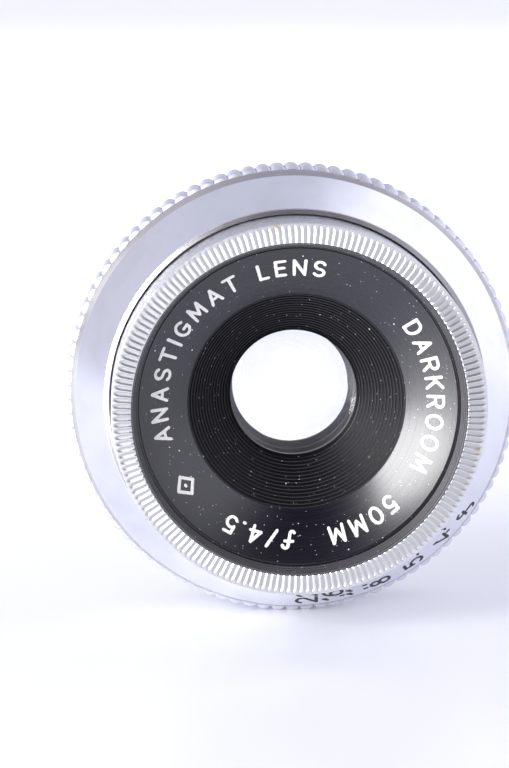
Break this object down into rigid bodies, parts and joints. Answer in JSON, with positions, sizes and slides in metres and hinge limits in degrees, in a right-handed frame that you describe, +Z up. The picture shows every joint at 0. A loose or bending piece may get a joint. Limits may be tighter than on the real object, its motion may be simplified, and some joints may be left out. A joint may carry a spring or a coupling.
{
  "type": "enlarging lens",
  "caption": "Small darkroom enlarging lens: scalloped aperture ring with a sloping scale, knurled front, black lettered ring, iris and a rear screw mount.",
  "frame": {"origin": "on the optical axis, at the register face where the mount flange seats on the lens board", "axes": "+Y along the optical axis towards the rear (the screw mount), -Y towards the front of the lens, +Z up"},
  "size_m": [0.043, 0.0238, 0.043],
  "materials": {
    "satin_aluminium": "satin turned",
    "bright_chrome": "bright plated",
    "black_enamel": "satin black",
    "black_anodised": "matte black",
    "black_steel": "matte blackened",
    "steel": "machined",
    "brass": "machined",
    "coated_glass": "polished, thin blue coating"
  },
  "bodies": {
    "barrel": {"main_barrel": "satin_aluminium", "front_bezel": "bright_chrome", "name_ring": "black_enamel", "front_cell": "black_anodised", "front_element": "coated_glass", "element_spacer": "black_anodised", "second_element": "coated_glass", "front_retaining_ring": "black_anodised", "iris_base_plate": "black_steel", "iris_retaining_ring": "brass", "rear_cell": "black_anodised", "rear_retaining_ring": "black_anodised", "rear_inner_element": "coated_glass", "rear_outer_element": "coated_glass"},
    "aperture_ring": {"aperture_ring": "satin_aluminium", "cam_ring": "brass", "drive_screw": "steel", "click_spring": "steel", "click_screw": "steel"},
    "click_ball": {"click_ball": "steel"},
    "iris_blade_1": {"iris_blade_1": "black_steel"},
    "iris_blade_2": {"iris_blade_2": "black_steel"},
    "iris_blade_3": {"iris_blade_3": "black_steel"},
    "iris_blade_4": {"iris_blade_4": "black_steel"},
    "iris_blade_5": {"iris_blade_5": "black_steel"},
    "iris_blade_6": {"iris_blade_6": "black_steel"},
    "iris_blade_7": {"iris_blade_7": "black_steel"},
    "iris_blade_8": {"iris_blade_8": "black_steel"}
  },
  "joints": [
    {"name": "aperture_ring_turn", "type": "hinge", "parent": "barrel", "child": "aperture_ring", "pos_m": [0, -0.0045, 0], "axis": [0, -1, 0], "range_deg": [0, 42]},
    {"name": "click_ball_slide", "type": "slide", "parent": "aperture_ring", "child": "click_ball", "axis": [1, 0, 0], "range_m": [0, 0.00018], "stiffness_N_per_m": 200, "deforming": ["click_spring"]},
    {"name": "iris_blade_1_pivot", "type": "hinge", "parent": "barrel", "child": "iris_blade_1", "pos_m": [0.00985, -0.001, 0], "axis": [0, -1, 0], "range_deg": [0, 24.5]},
    {"name": "iris_blade_2_pivot", "type": "hinge", "parent": "barrel", "child": "iris_blade_2", "pos_m": [0.00696, -0.001, 0.00696], "axis": [0, -1, 0], "range_deg": [0, 24.5]},
    {"name": "iris_blade_3_pivot", "type": "hinge", "parent": "barrel", "child": "iris_blade_3", "pos_m": [0, -0.001, 0.00985], "axis": [0, -1, 0], "range_deg": [0, 24.5]},
    {"name": "iris_blade_4_pivot", "type": "hinge", "parent": "barrel", "child": "iris_blade_4", "pos_m": [-0.00696, -0.001, 0.00696], "axis": [0, -1, 0], "range_deg": [0, 24.5]},
    {"name": "iris_blade_5_pivot", "type": "hinge", "parent": "barrel", "child": "iris_blade_5", "pos_m": [-0.00985, -0.001, 0], "axis": [0, -1, 0], "range_deg": [0, 24.5]},
    {"name": "iris_blade_6_pivot", "type": "hinge", "parent": "barrel", "child": "iris_blade_6", "pos_m": [-0.00696, -0.001, -0.00696], "axis": [0, -1, 0], "range_deg": [0, 24.5]},
    {"name": "iris_blade_7_pivot", "type": "hinge", "parent": "barrel", "child": "iris_blade_7", "pos_m": [0, -0.001, -0.00985], "axis": [0, -1, 0], "range_deg": [0, 24.5]},
    {"name": "iris_blade_8_pivot", "type": "hinge", "parent": "barrel", "child": "iris_blade_8", "pos_m": [0.00696, -0.001, -0.00696], "axis": [0, -1, 0], "range_deg": [0, 24.5]}
  ],
  "couplings": [
    {"joint": "iris_blade_1_pivot", "follows": "aperture_ring_turn", "ratio": 0.57143},
    {"joint": "iris_blade_2_pivot", "follows": "aperture_ring_turn", "ratio": 0.57143},
    {"joint": "iris_blade_3_pivot", "follows": "aperture_ring_turn", "ratio": 0.57143},
    {"joint": "iris_blade_4_pivot", "follows": "aperture_ring_turn", "ratio": 0.57143},
    {"joint": "iris_blade_5_pivot", "follows": "aperture_ring_turn", "ratio": 0.57143},
    {"joint": "iris_blade_6_pivot", "follows": "aperture_ring_turn", "ratio": 0.57143},
    {"joint": "iris_blade_7_pivot", "follows": "aperture_ring_turn", "ratio": 0.57143},
    {"joint": "iris_blade_8_pivot", "follows": "aperture_ring_turn", "ratio": 0.57143}
  ]
}
